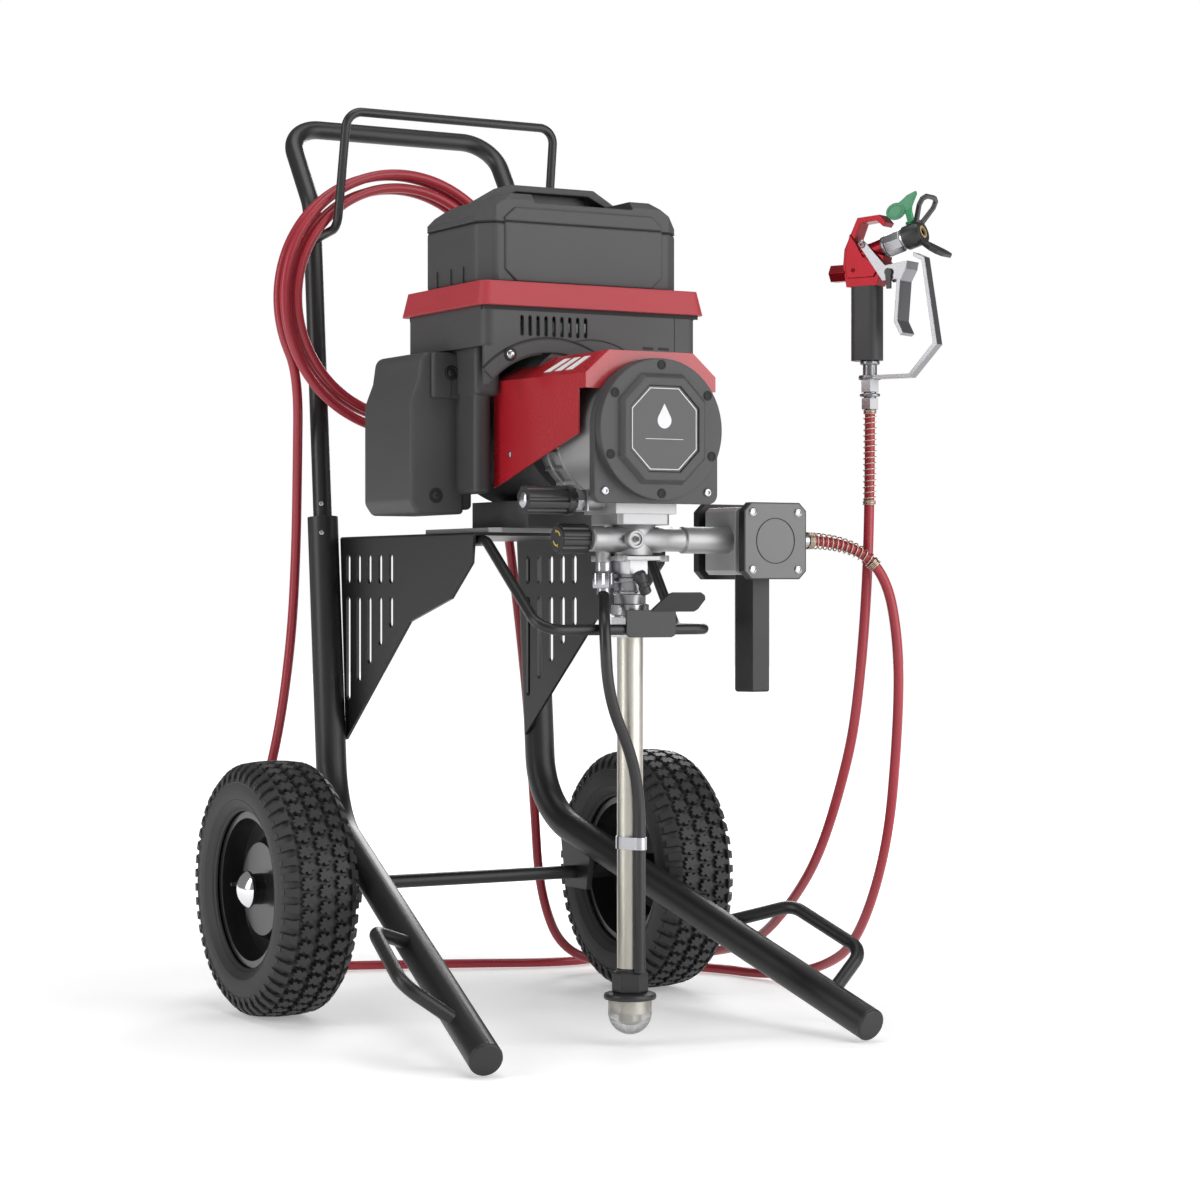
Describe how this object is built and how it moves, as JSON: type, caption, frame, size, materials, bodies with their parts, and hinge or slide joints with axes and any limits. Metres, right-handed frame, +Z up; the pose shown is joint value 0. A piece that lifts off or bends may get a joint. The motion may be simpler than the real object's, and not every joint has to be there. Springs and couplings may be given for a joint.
{
  "type": "airless paint sprayer",
  "caption": "Cordless airless paint sprayer on a wheeled cart with piston pump, filter block, coiled red hose, spray gun, suction tube and pail hook.",
  "frame": {"origin": "on the floor under the middle of the axle", "axes": "+Z up, +X to the right as seen from the pump side, -Y towards the pump and the feet"},
  "size_m": [0.8069, 0.9441, 1.2025],
  "materials": {
    "frame_black": "satin powder coat",
    "rim_black": "gloss paint",
    "tyre": "moulded rubber",
    "cap_plastic": "satin moulded",
    "hub_chrome": "polished",
    "housing_plastic": "fine grain",
    "knob_plastic": "satin",
    "deck_red": "satin",
    "shroud_red": "gloss paint",
    "cast_aluminium": "satin casting",
    "plate_black": "gloss paint",
    "screw_steel": "polished",
    "machined_steel": "turned",
    "suction_steel": "brushed stainless",
    "strainer": "moulded with steel mesh",
    "motor_iron": "laminated iron and copper",
    "packing": "oiled",
    "filter_mesh": "woven mesh",
    "board": "circuit board",
    "cells": "sleeved cells",
    "drain_black": "smooth",
    "hose_red": "smooth hose cover",
    "gun_red": "anodised",
    "gun_steel": "satin nickel",
    "gun_rubber": "moulded grip",
    "guard_black": "moulded",
    "tip_green": "moulded"
  },
  "bodies": {
    "cart": {"frame_tube_left": "frame_black", "frame_tube_right": "frame_black", "cradle": "frame_black", "handle_tube": "frame_black", "hose_rack": "frame_black", "axle": "frame_black", "foot_loops": "frame_black", "pail_rod": "frame_black", "pail_hook": "frame_black", "foot_caps": "cap_plastic", "hub_caps": "hub_chrome", "motor_housing": "housing_plastic", "upper_housing": "housing_plastic", "side_box": "housing_plastic", "gear_cover": "housing_plastic", "deck_cover": "deck_red", "shroud": "shroud_red", "gear_housing": "cast_aluminium", "pump_block": "cast_aluminium", "filter_body": "cast_aluminium", "motor_base": "cast_aluminium", "filter_plates": "plate_black", "filter_bowl": "plate_black", "cover_screws": "screw_steel", "drain_fittings": "screw_steel", "hose_outlet": "screw_steel", "pump_cylinder": "machined_steel", "gear_bearings": "machined_steel", "suction_tube": "suction_steel", "suction_strainer": "strainer", "motor_stator": "motor_iron", "pump_packings": "packing", "filter_element": "filter_mesh", "controller_board": "board", "drain_tube": "drain_black", "hose_supply": "hose_red", "hose_gun": "hose_red", "hose_coil": "hose_red", "gun_body": "gun_red", "gun_handle": "gun_steel", "gun_grip": "gun_rubber"},
    "wheel_left": {"tyre_left": "tyre", "rim_left": "rim_black"},
    "wheel_right": {"tyre_right": "tyre", "rim_right": "rim_black"},
    "battery": {"battery_case": "housing_plastic", "battery_lid": "housing_plastic", "battery_cells": "cells"},
    "switch": {"power_switch": "knob_plastic"},
    "control": {"pressure_knob": "knob_plastic"},
    "prime": {"prime_knob": "knob_plastic"},
    "rotor": {"motor_rotor": "motor_iron"},
    "crank": {"crank_gear": "machined_steel"},
    "pump_slider": {"slider": "machined_steel"},
    "check_ball": {"inlet_ball": "machined_steel"},
    "trigger": {"gun_trigger": "gun_steel"},
    "lock": {"trigger_lock": "guard_black"},
    "needle": {"gun_needle": "machined_steel"},
    "guard": {"tip_guard": "guard_black"},
    "tip": {"spray_tip": "tip_green"}
  },
  "joints": [
    {"name": "wheel_left_spin", "type": "hinge", "parent": "cart", "child": "wheel_left", "pos_m": [-0.2776, 0, 0.165], "axis": [1, 0, 0], "continuous": true},
    {"name": "wheel_right_spin", "type": "hinge", "parent": "cart", "child": "wheel_right", "pos_m": [0.2776, 0, 0.165], "axis": [1, 0, 0], "continuous": true},
    {"name": "battery_lift", "type": "slide", "parent": "cart", "child": "battery", "axis": [0, 0, 1], "range_m": [0, 0.12]},
    {"name": "switch_rock", "type": "hinge", "parent": "cart", "child": "switch", "pos_m": [0.1, -0.128, 0.872], "axis": [1, 0, 0], "range_deg": [-8, 8]},
    {"name": "pressure_turn", "type": "hinge", "parent": "cart", "child": "control", "pos_m": [-0.1, -0.437, 0.658], "axis": [1, 0, 0], "range_deg": [0, 270]},
    {"name": "prime_turn", "type": "hinge", "parent": "cart", "child": "prime", "pos_m": [-0.08, -0.437, 0.6126], "axis": [1, 0, 0], "range_deg": [0, 90]},
    {"name": "rotor_spin", "type": "hinge", "parent": "cart", "child": "rotor", "pos_m": [0, -0.255, 0.802], "axis": [0, 1, 0], "continuous": true},
    {"name": "crank_spin", "type": "hinge", "parent": "cart", "child": "crank", "pos_m": [0, -0.415, 0.742], "axis": [0, 1, 0], "continuous": true},
    {"name": "slider_stroke", "type": "slide", "parent": "cart", "child": "pump_slider", "axis": [0, 0, 1], "range_m": [-0.014, 0.014]},
    {"name": "ball_lift", "type": "slide", "parent": "cart", "child": "check_ball", "axis": [0, 0, 1], "range_m": [0, 0.003]},
    {"name": "trigger_pull", "type": "hinge", "parent": "cart", "child": "trigger", "pos_m": [0.35171, -0.43329, 0.988], "axis": [0.9023, 0.4311, 0], "range_deg": [0, 10], "stiffness_Nm_per_rad": 2, "springref_deg": -11.46},
    {"name": "lock_turn", "type": "hinge", "parent": "trigger", "child": "lock", "pos_m": [0.35336, -0.47573, 0.951], "axis": [0.9023, 0.4311, 0], "range_deg": [0, 80]},
    {"name": "needle_slide", "type": "slide", "parent": "cart", "child": "needle", "axis": [0.4144, -0.8674, 0.2756], "range_m": [-0.003, 0]},
    {"name": "guard_turn", "type": "hinge", "parent": "cart", "child": "guard", "pos_m": [0.3725, -0.47681, 0.99151], "axis": [0.4144, -0.8674, 0.2756], "range_deg": [-90, 90]},
    {"name": "tip_turn", "type": "hinge", "parent": "guard", "child": "tip", "pos_m": [0.3796, -0.49167, 1.00664], "axis": [-0.1188, 0.2487, 0.9613], "range_deg": [0, 180]}
  ],
  "couplings": [
    {"joint": "crank_spin", "follows": "rotor_spin", "ratio": -0.2},
    {"joint": "needle_slide", "follows": "trigger_pull", "m_per_rad": -0.0115}
  ]
}
